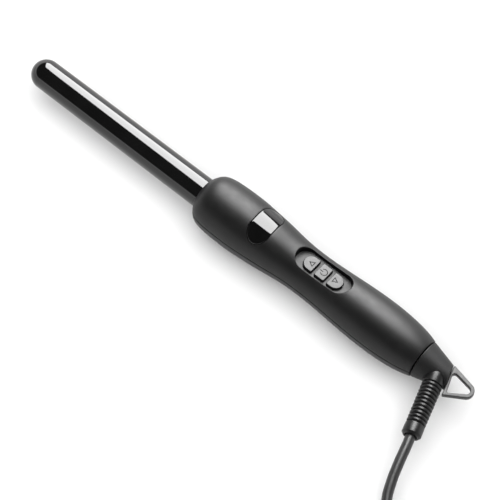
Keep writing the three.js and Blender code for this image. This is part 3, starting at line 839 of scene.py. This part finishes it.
def lift_from_map(side, depth=0.0):
    def lift(s, w):
        x, radius = profile_at(s)
        angle = w / ACROSS * edge_angle(radius)
        return x, (radius - depth) * math.sin(angle), side * (radius - depth) * math.cos(angle)
    return lift


def on_handle(loop, side, depth=0.0):
    """An outline in x and y, laid on the handle's surface or a depth below it."""
    return [(x, y, side * math.sqrt((radius_at(x) - depth) ** 2 - y * y)) for x, y in loop]


def half_row(x, radius, side, across):
    """A half section of the handle from one parting edge to the other, with its edges rounded."""
    edge = PARTING + PARTING_ROUND
    arc = [(x, radius * math.sin(a), side * radius * math.cos(a))
           for a in (w / ACROSS * edge_angle(radius) for w in across)]
    turn = ease((arc[-1][1], edge), (radius, PARTING), (radius - PARTING_ROUND, PARTING), 3)[1:]
    ends = [(x, y, side * z) for y, z in turn]
    return [(x, -y, z) for x, y, z in reversed(ends)] + arc + ends


def half_body(side, holes, inner_sheets, name):
    """One half of the handle as a solid, with openings in its surface."""
    across = np.linspace(-ACROSS, ACROSS, ACROSS_POINTS)
    lengths = [*np.arange(0, FINE_FRONT, FINE_FRONT_STEP),
               *np.linspace(FINE_FRONT, HANDLE_LENGTH, LENGTH_POINTS)]
    body_rows = [half_row(*profile_at(s), side, across) for s in lengths]
    front = [half_row(0, r, side, across) for r in FRONT_FACE_RADII]
    end_radius = radius_at(SEAM_X)
    rim = ease(profile_at(HANDLE_LENGTH), (SEAM_X, end_radius), (SEAM_X, end_radius - REAR_ROUND))[1:]
    rear = [half_row(x, r, side, across) for x, r in (*rim, (SEAM_X, REAR_FACE_RADIUS))]
    rows = [*front, *body_rows, *rear]
    lengths_back = lengths[::-1]
    outline = [(lengths[0], w) for w in across] + [(s, ACROSS) for s in lengths[1:]]
    outline += [(lengths[-1], w) for w in across[::-1][1:]] + [(s, -ACROSS) for s in lengths_back[1:-1]]
    grid = [(s, w) for s in lengths[1:-1] for w in across[1:-1]]
    sheets = [
        strips([*front, body_rows[0]], closed=False),
        strips([body_rows[-1], *rear], closed=False),
        strips([row[:4] for row in body_rows], closed=False),
        strips([row[-4:] for row in body_rows], closed=False),
        strips([[row[0], row[-1]] for row in rows], closed=False),
        lid(rows[0]), lid(rows[-1]),
        fill(outline, [[to_map(x, y) for x, y in hole] for hole in holes], grid, lift_from_map(side), 0.36),
        *inner_sheets,
    ]
    return raw_mesh(name, sheets, WAND)


def hollow(side):
    """The room inside the handle, with a rounded mouth for the barrel."""
    bore = BARREL_RADIUS + BARREL_CLEARANCE
    room = [(x, radius_at(x) - SHELL_WALL) for x in np.linspace(ROOM_START, ROOM_END, 49)]
    profile = [(BEFORE_FRONT, 0), (BEFORE_FRONT, bore + 0.9),
               *ease((-0.02, bore + 0.55), (0.02, bore), (0.6, bore)),
               (COLLAR_START, bore), (COLLAR_START, COLLAR_SEAT), (COLLAR_END, COLLAR_SEAT), *room,
               (BUSH_WALL_X, BUSH_WALL_RADIUS), (BUSH_WALL_X, BUSH_BORE), (BEYOND_REAR, BUSH_BORE),
               (BEYOND_REAR, 0)]
    mesh = raw_mesh("hollow", [lathe(profile, 72)], WAND)
    keepers = []
    if side > 0:
        steps = [(PANEL_WALL, PANEL_UNDERSIDE_Z), (PANEL_WALL, WINDOW_Z[1])]
        flat = around(PANEL_CIRCLES, PANEL_WALL)
        keepers.append([stack(PANEL_CIRCLES, steps), fill(flat, [], [], level(steps[0][1])),
                        fill(flat, [], [], level(steps[1][1]))])
    radius = BOSS_RADIUS[side]
    turn = np.linspace(0, 2 * math.pi, 32, endpoint=False)
    for x in SCREW_X:
        rows = [[(x + radius * math.cos(a), radius * math.sin(a), side * z) for a in turn]
                for z in (0.0, BOSS_HEIGHT)]
        keepers.append([strips(rows), lid(rows[0]), lid(rows[1])])
    return cut(mesh, [raw_mesh("keeper", sheets, WAND) for sheets in keepers])


def lip_rows(circles, grown, lip, steps, side=1, spacing=0.7):
    """The rounded edge where a recess of an outline comes out of the handle's surface."""
    rows = []
    for angle in quarter_turn(steps):
        loop = around(circles, grown + lip * (1 - math.sin(angle)), spacing)
        rows.append([(x, y, z - side * lip * (1 - math.cos(angle))) for x, y, z in on_handle(loop, side)])
    return rows


def middle_circles():
    x, y = MIDDLE_HALF - BUTTON_CORNER, BUTTON_HALF - BUTTON_CORNER
    return box_corners(PANEL_X - x, PANEL_X + x, y, BUTTON_CORNER)


def end_circles(side):
    """A button that is flat towards the middle one and round at its other end."""
    x, y = PANEL_X + side * (END_START + BUTTON_CORNER), BUTTON_HALF - BUTTON_CORNER
    return [(PANEL_X + side * END_ROUND, 0, BUTTON_HALF),
            (x, side * y, BUTTON_CORNER), (x, -side * y, BUTTON_CORNER)]


BUTTONS = {
    "temperature_down_button": end_circles(-1),
    "power_button": middle_circles(),
    "temperature_up_button": end_circles(1),
}


def panel_sheets():
    """The recess for the buttons: its wall, its floor and the three holes in it."""
    reach_x, reach_y = PANEL_REACH
    floor_z, round_z = PANEL_FLOOR_Z, PANEL_FLOOR_Z + RECESS_FLOOR_EDGE
    rows = lip_rows(PANEL_CIRCLES, 0, RECESS_LIP, 5)
    wall = rows[-1]
    for share in (0.33, 0.66):
        rows.append([(x, y, z + (round_z - z) * share) for x, y, z in wall])
    for offset, z in ease((0, round_z), (0, floor_z), (-RECESS_FLOOR_EDGE, floor_z)):
        rows.append(at_level(around(PANEL_CIRCLES, offset), z))
    holes = [around(circles, GAP + BUTTON_HOLE_EDGE, FINE) for circles in BUTTONS.values()]
    grid = [(x, y) for x in np.arange(PANEL_X - reach_x, PANEL_X + reach_x, 0.9)
            for y in np.arange(-reach_y, reach_y + 0.1, 0.9)]
    sheets = [strips(rows), fill(around(PANEL_CIRCLES, -RECESS_FLOOR_EDGE), holes, grid, level(floor_z))]
    edge = ease((GAP + BUTTON_HOLE_EDGE, floor_z), (GAP, floor_z), (GAP, floor_z - BUTTON_HOLE_EDGE), 3)
    for circles in BUTTONS.values():
        sheets.append(stack(circles, [*edge, *((GAP, z) for z in BUTTON_HOLE_Z)], FINE))
        sheets.append(fill(around(circles, GAP, FINE), [], [], level(BUTTON_HOLE_Z[1])))
    return sheets


def lens_grid(spacing):
    start, end, half = LENS_MAP
    return [(s, w) for s in np.arange(start, end, spacing) for w in np.arange(-half, half, spacing)]


def pocket_sheets():
    """The pocket that the lens lies in."""
    depth = LENS_THICKNESS + GAP
    pocket = lip_rows(LENS_CIRCLES, GAP, POCKET_LIP, 3)
    pocket.append(on_handle(around(LENS_CIRCLES, GAP), 1, depth))
    bottom = [to_map(x, y, depth) for x, y in around(LENS_CIRCLES, GAP)]
    return [strips(pocket), fill(bottom, [], lens_grid(1.2), lift_from_map(1, depth), 0.5)]


def upper_shell():
    openings = [around(PANEL_CIRCLES, RECESS_LIP), around(LENS_CIRCLES, GAP + POCKET_LIP)]
    solid = half_body(1, openings, [*panel_sheets(), *pocket_sheets()], "upper_shell_solid")
    corners = box_corners(*WINDOW_X, WINDOW_HALF, WINDOW_CORNER)
    window = raw_mesh("window", slab(corners, *WINDOW_Z, WINDOW_EDGE), WAND)
    mesh = cut(solid, [hollow(1), window])
    return piece("upper_handle_shell", mesh, "soft_touch", "handle", ["handle_upper_shell"])


def lower_shell():
    """The lower half of the handle, with a well and a hole for each screw."""
    sheets, openings = [], []
    for x in SCREW_X:
        well = round_outline(x, SCREW_WELL_RADIUS)
        wall = around(well, 0, SCREW_SPACING)
        hole = around(round_outline(x, SCREW_HOLE_RADIUS), 0, SCREW_SPACING)
        rows = lip_rows(well, 0, SCREW_WELL_LIP, 3, -1, SCREW_SPACING)
        rows.append(at_level(wall, SCREW_WELL_Z))
        sheets += [strips(rows),
                   fill(wall, [hole], [], level(SCREW_WELL_Z)),
                   strips([at_level(hole, z) for z in (SCREW_WELL_Z, SCREW_HOLE_END_Z)]),
                   lid(at_level(hole, SCREW_HOLE_END_Z))]
        openings.append(around(well, SCREW_WELL_LIP, SCREW_SPACING))
    solid = half_body(-1, openings, sheets, "lower_shell_solid")
    mesh = cut(solid, [hollow(-1)])
    return piece("lower_handle_shell", mesh, "soft_touch", "handle", ["handle_lower_shell"])


def display_lens():
    """A curved lens with a polished, rounded edge."""
    rows = []
    for angle in quarter_turn(5):
        loop = around(LENS_CIRCLES, -LENS_EDGE * (1 - math.sin(angle)))
        rows.append(on_handle(loop, 1, LENS_SUNK + LENS_EDGE * (1 - math.cos(angle))))
    rows.append(on_handle(around(LENS_CIRCLES, 0), 1, LENS_THICKNESS))
    grid = lens_grid(0.8)
    top = [to_map(x, y, LENS_SUNK) for x, y in around(LENS_CIRCLES, -LENS_EDGE)]
    under = [to_map(x, y, LENS_THICKNESS) for x, y in around(LENS_CIRCLES, 0)]
    sheets = [strips(rows), fill(top, [], grid, lift_from_map(1, LENS_SUNK), 0.3),
              fill(under, [], grid, lift_from_map(1, LENS_THICKNESS), 0.3)]
    mesh = raw_mesh("display_lens_fine", sheets, WAND)
    return piece("smoked_display_lens", mesh, "smoked_lens", "handle", ["display_lens"])


def offset_triangle(apex_x, base_x, half, inset):
    """A triangle on its side, moved inwards on all sides."""
    point = 1 if apex_x > base_x else -1
    length = abs(apex_x - base_x)
    slant = math.hypot(length, half)
    near_apex = inset * slant / half
    scale = (length - inset - near_apex) / length
    return [(apex_x - point * near_apex, 0), (base_x + point * inset, half * scale),
            (base_x + point * inset, -half * scale)]


def triangle_mark(point):
    """An outlined triangle that points away from the middle button."""
    x = PANEL_X + point * TRIANGLE_PLACE
    apex, base = x + point * TRIANGLE_POINT, x - point * TRIANGLE_BASE
    return [tuple(offset_triangle(apex, base, TRIANGLE_HALF, inset) for inset in (0.0, TRIANGLE_LINE))]


def power_mark():
    """An open ring with a stem in its opening, towards the tip."""
    x = PANEL_X + POWER_PLACE
    (outer, inner), (far, near), half = POWER_RADII, POWER_STEM, POWER_STEM_HALF
    turn = np.linspace(-math.pi + POWER_GAP, math.pi - POWER_GAP, 33)
    ring = [(x + outer * math.cos(a), outer * math.sin(a)) for a in turn]
    ring += [(x + inner * math.cos(a), inner * math.sin(a)) for a in turn[::-1]]
    stem = [(x - far, -half), (x - near, -half), (x - near, half), (x - far, half)]
    return [(ring, None), (stem, None)]


def button(node, marks):
    """A flat-topped button with engraved marks and a foot under the panel."""
    circles, edge, (foot_low, foot_high) = BUTTONS[node], BUTTON_EDGE, BUTTON_FOOT_Z
    steps = [(BUTTON_FOOT, foot_low), (BUTTON_FOOT, foot_high), (0, foot_high), (0, BUTTON_SIDE_Z),
             *ease((0, BUTTON_TOP_Z - edge), (0, BUTTON_TOP_Z), (-edge, BUTTON_TOP_Z))]
    outer = around(circles, -edge, FINE)
    holes = [mark[0] for mark in marks]
    floor_z = BUTTON_TOP_Z - MARK_DEPTH
    sheets = [stack(circles, steps, FINE), fill(around(circles, BUTTON_FOOT, FINE), [], [], level(foot_low)),
              fill(outer, holes, [], level(BUTTON_TOP_Z))]
    # Each mark's floor takes the second material, the painted shade in the groove.
    for mark, island in marks:
        sheets.append((*fill(mark, [island] if island else [], [], level(floor_z)), 1))
        sheets.append(strips([at_level(mark, BUTTON_TOP_Z), at_level(mark, floor_z)]))
        if island:
            sheets.append(strips([at_level(island, BUTTON_TOP_Z), at_level(island, floor_z)]))
            sheets.append(fill(island, [], [], level(BUTTON_TOP_Z)))
    mesh = raw_mesh(node + "_fine", sheets, WAND)
    return piece(node.replace("button", "key"), mesh, "button_plastic", node, [node],
                 looks=[LOOKS["button_plastic"], ENGRAVING_SHADE])


def barrel():
    """A closed tube with a domed tip, tapering a little towards it."""
    shoulder = TIP_X + BARREL_TIP_RADIUS
    quarter = np.linspace(0, math.pi / 2, 24)
    inner = BARREL_TIP_RADIUS - BARREL_WALL
    profile = [(shoulder - BARREL_TIP_RADIUS * math.cos(a), BARREL_TIP_RADIUS * math.sin(a)) for a in quarter]
    profile += [(x, np.interp(x, [shoulder, 0], [BARREL_TIP_RADIUS, BARREL_RADIUS]))
                for x in np.linspace(BARREL_TAPER_X, 0, 24)]
    profile += [(BARREL_END_X, BARREL_RADIUS), (BARREL_END_X, BARREL_RADIUS - BARREL_WALL)]
    profile += [(0, BARREL_RADIUS - BARREL_WALL)]
    profile += [(shoulder - inner * math.cos(a), inner * math.sin(a)) for a in quarter[::-1]]
    mesh = raw_mesh("barrel_fine", [lathe(profile, 128)], WAND)
    return piece("barrel_tube", mesh, "ceramic_coating", "handle", ["barrel"])


# ---- tail


def beside_relief(along, across):
    """A place in the tail's plane: along the strain relief, and across it to the loop's side."""
    x, y = math.cos(RELIEF_ANGLE), -math.sin(RELIEF_ANGLE)
    return RELIEF_ROOT_X + along * x - across * y, along * y + across * x


def cone_radius(x):
    return CONE_RADIUS - CONE_SLOPE * (x - CONE_X)


def cone_end(angle):
    """The x at which the cone's line at an angle meets the cap's end face."""
    across_x, across_y = math.sin(RELIEF_ANGLE), math.cos(RELIEF_ANGLE)
    c = math.cos(angle)
    # across = (x - root) * across_x + radius(x) * c * across_y, with radius linear in x
    slope = across_x - CONE_SLOPE * c * across_y
    start = (CONE_X - RELIEF_ROOT_X) * across_x + CONE_RADIUS * c * across_y
    return CONE_X + (CAP_END - start) / slope


def cone_point(x, angle):
    radius = cone_radius(x)
    return Vector((x, radius * math.cos(angle), radius * math.sin(angle)))


def cone_from_map(t, v):
    """The cone's flat map: t from its front ring to its end, v round it."""
    angle = v / CONE_MAP_RADIUS
    end = cone_end(angle) - END_ROUND_MM
    return cone_point(CONE_FRONT + (end - CONE_FRONT) * t / CONE_MAP_LENGTH, angle)


def cone_to_map(point):
    angle = math.atan2(point.z, point.y) % (2 * math.pi)
    end = cone_end(angle) - END_ROUND_MM
    return CONE_MAP_LENGTH * (point.x - CONE_FRONT) / (end - CONE_FRONT), CONE_MAP_RADIUS * angle


def pocket_ring(radius, sink=0.0):
    """Where a bore round the strain relief's axis comes out of the cone."""
    along = Vector((math.cos(RELIEF_ANGLE), -math.sin(RELIEF_ANGLE), 0))
    side = Vector((math.sin(RELIEF_ANGLE), math.cos(RELIEF_ANGLE), 0))
    ring = []
    for i in range(RING_STEPS):
        angle = 2 * math.pi * i / RING_STEPS
        outwards = math.cos(angle) * side + math.sin(angle) * Vector((0, 0, 1))
        start = RELIEF_ROOT + radius * outwards
        low, high = 0.0, 30.0
        for _ in range(40):
            middle = (low + high) / 2
            place = start + middle * along
            if math.hypot(place.y, place.z) < cone_radius(place.x):
                low = middle
            else:
                high = middle
        ring.append(start + (low - sink) * along)
    return ring


def pocket_floor(radius, along):
    """A ring round the strain relief's axis, at a place along it."""
    ring = []
    for i in range(RING_STEPS):
        angle = 2 * math.pi * i / RING_STEPS
        x, y = beside_relief(along, radius * math.cos(angle))
        ring.append(Vector((x, y, RELIEF_RISE + radius * math.sin(angle))))
    return ring


def tail_cap():
    """A cone, cut off along the strain relief, with a pocket for it in its side."""
    angles = [2 * math.pi * i / CONE_STEPS for i in range(CONE_STEPS)]
    bottom_x, socket = CONE_X + CONE_SOCKET_DEPTH, CONE_SOCKET_RADIUS
    front = rounded([(bottom_x, 0, 0), (bottom_x, socket, 0), (CONE_X, socket, 0.2), (CONE_X, 11.66, 0.45),
                     (CONE_X + 3, cone_radius(CONE_X + 3), 0)])[:-1]
    rows = [[(x, r * math.cos(a), r * math.sin(a)) for a in angles] for x, r in front]
    rows.append([cone_point(CONE_FRONT, a) for a in angles])
    grown, lip = POCKET_RADIUS - 0.15, CAP_POCKET_LIP
    hole = pocket_ring(grown + lip)
    v_steps = [CONE_MAP_RADIUS * a for a in angles] + [2 * CONE_MAP_RADIUS * math.pi]
    t_steps = np.linspace(0, CONE_MAP_LENGTH, 25)
    outline = [(0, v) for v in v_steps] + [(t, v_steps[-1]) for t in t_steps[1:]]
    outline += [(CONE_MAP_LENGTH, v) for v in v_steps[::-1][1:]] + [(t, 0) for t in t_steps[::-1][1:-1]]
    grid = [(t, v) for t in t_steps[1:-1] for v in v_steps[1:-1]]
    skin = fill(outline, [[cone_to_map(p) for p in hole]], grid, cone_from_map, 0.3)
    last, corner, inner = [], [], []
    middle = sum((cone_point(cone_end(a), a) for a in angles), Vector()) / CONE_STEPS
    for a in angles:
        edge = cone_point(cone_end(a), a)
        last.append(cone_point(cone_end(a) - END_ROUND_MM, a))
        corner.append(edge)
        inner.append(edge + (middle - edge).normalized() * END_ROUND_MM)
    turns = [ease(*points) for points in zip(last, corner, inner)]
    end_rows = [list(row) for row in zip(*turns)]
    lips = [ease(*points, 3) for points in zip(hole, pocket_ring(grown), pocket_ring(grown, lip))]
    pocket = [list(row) for row in zip(*lips)]
    bottom = pocket_floor(grown, RELIEF_START - GAP)
    sheets = [strips(rows), skin, strips(end_rows), lid(end_rows[-1]),
              strips([*pocket, bottom]), lid(bottom)]
    mesh = raw_mesh("tail_cap_fine", sheets, TAIL, 2 * WELD_MM)
    return piece("tail_cone", mesh, "textured_plastic", "tail", ["tail_cap"])


def hang_loop():
    """A flat triangular ring with soft edges, and the tongue that holds it in the cap."""
    lower, upper = [(*beside_relief(along, LOOP_BASE + above), radius)
                    for along, above, radius in (LOOP_LOWER, LOOP_UPPER)]
    apex = loop_high.x - RIM_X - LOOP_APEX_RADIUS
    outline = [lower, (apex, LOOP_APEX_Y, LOOP_APEX_RADIUS), upper]
    eye = [EYE_LOWER, (apex, EYE_APEX_Y, EYE_APEX_RADIUS), EYE_UPPER]
    edge, half, spacing = LOOP_EDGE, LOOP_HALF, 0.5
    steps = [*ease((-edge, -half), (0, -half), (0, edge - half)),
             *ease((0, half - edge), (0, half), (-edge, half))]
    walls = [stack(outline, steps, spacing), stack(eye, [(-o, z) for o, z in steps], spacing)]
    rim, hole = around(outline, -edge, spacing), around(eye, edge, spacing)
    faces = [fill(rim, [hole], [], level(z)) for z in (-half, half)]
    corners = [(*beside_relief(*place), TONGUE_CORNER) for place in TONGUE]
    tongue = slab(corners, -half + TONGUE_THINNER, half - TONGUE_THINNER, TONGUE_EDGE)
    mesh = raw_mesh("hang_loop_fine", [*walls, *faces, *tongue], TAIL)
    return piece("hanging_loop", mesh, "flexible_plastic", "tail", ["hang_loop"])


# ---- stage

FLOOR_ALBEDO = 0.8
WORLD_LOW = 1.8
WORLD_HIGH = 0.11
WORLD_RAMP = (0.24, 0.30)  # where the bright lower part ends and the dim upper part starts
WORLD_LEAN = 0.2  # the bright lower part of the world reaches higher beyond the wand
STRIP_RADIANCE = 17.0
STRIP_SIZE = (1.8, 3.3)
STRIP_DISTANCE = 3.0
STRIP_ELEVATION = math.radians(60)
STRIP_SIDEWAYS = -0.26
FILL_RADIANCE = 2.0
FILL_SIZE = 8.0
FILL_PLACE = Vector((-0.3, -0.8, 3.0))
FLOOR_REACH = 12.0


def floor():
    mesh = bpy.data.meshes.new("floor")
    corners = [(a * FLOOR_REACH, b * FLOOR_REACH, 0) for a, b in ((-1, -1), (1, -1), (1, 1), (-1, 1))]
    mesh.from_pydata(corners, [], [(0, 1, 2, 3)])
    look = Look("floor", grey(FLOOR_ALBEDO), 0.9, Specular_IOR_Level=0.0)
    look.colours(look.noise(400), grey(FLOOR_ALBEDO - 0.01), grey(FLOOR_ALBEDO + 0.01))
    mesh.materials.append(look.material)
    new_object("floor", mesh)


def area_light(name, size, radiance, place, towards):
    data = bpy.data.lights.new(name, "AREA")
    data.shape = "RECTANGLE"
    data.size, data.size_y = size
    data.energy = radiance * math.pi * size[0] * size[1]
    light = new_object(name, data)
    light.location = place
    light.rotation_mode = "QUATERNION"
    light.rotation_quaternion = towards.to_track_quat("Z", "Y")
    return light


def lights():
    """A strip beyond the wand, seen only in reflections, and a broad fill that only lights what is matt."""
    rest = 0.9656
    towards = Vector((STRIP_SIDEWAYS, rest * math.cos(STRIP_ELEVATION), rest * math.sin(STRIP_ELEVATION)))
    strip = area_light("strip", STRIP_SIZE, STRIP_RADIANCE, STRIP_DISTANCE * towards, towards)
    strip.visible_diffuse = False
    overhead = area_light("fill", (FILL_SIZE, FILL_SIZE), FILL_RADIANCE, FILL_PLACE, FILL_PLACE.normalized())
    overhead.visible_glossy = False


def world():
    made = bpy.data.worlds.new("studio")
    made.use_nodes = True
    tree = made.node_tree
    place = add_node(tree, "TexCoord").outputs["Generated"]
    lean = add_node(tree, "VectorMath", Vector=place)
    lean.operation = "DOT_PRODUCT"
    lean.inputs[1].default_value = (0, -WORLD_LEAN, 1)
    ramp = add_node(tree, "ValToRGB", Fac=lean.outputs["Value"])
    set_ramp(ramp.color_ramp, WORLD_RAMP, (grey(WORLD_LOW), grey(WORLD_HIGH)))
    tree.links.new(ramp.outputs["Color"], tree.nodes["Background"].inputs["Color"])
    bpy.context.scene.world = made


# ---- making it all

make_camera()
relief = strain_relief()
plug, sleeve = plug_body()
pins = [plug_pin("plug_pin_left"), plug_pin("plug_pin_right")]
make_cord([relief, plug, sleeve, *pins, cord_tie()])

barrel()
upper_shell()
lower_shell()
display_lens()
button("temperature_down_button", triangle_mark(-1))
button("power_button", power_mark())
button("temperature_up_button", triangle_mark(1))
tail_cap()
hang_loop()

for part in frame["record"]["subparts"]:
    node = frame["nodes"][part["node"]]
    node.data.materials.clear()
    node.data.materials.append(LOOKS[part["material_slot"]].material)

floor()
lights()
world()
bpy.context.scene.view_settings.view_transform = "Standard"
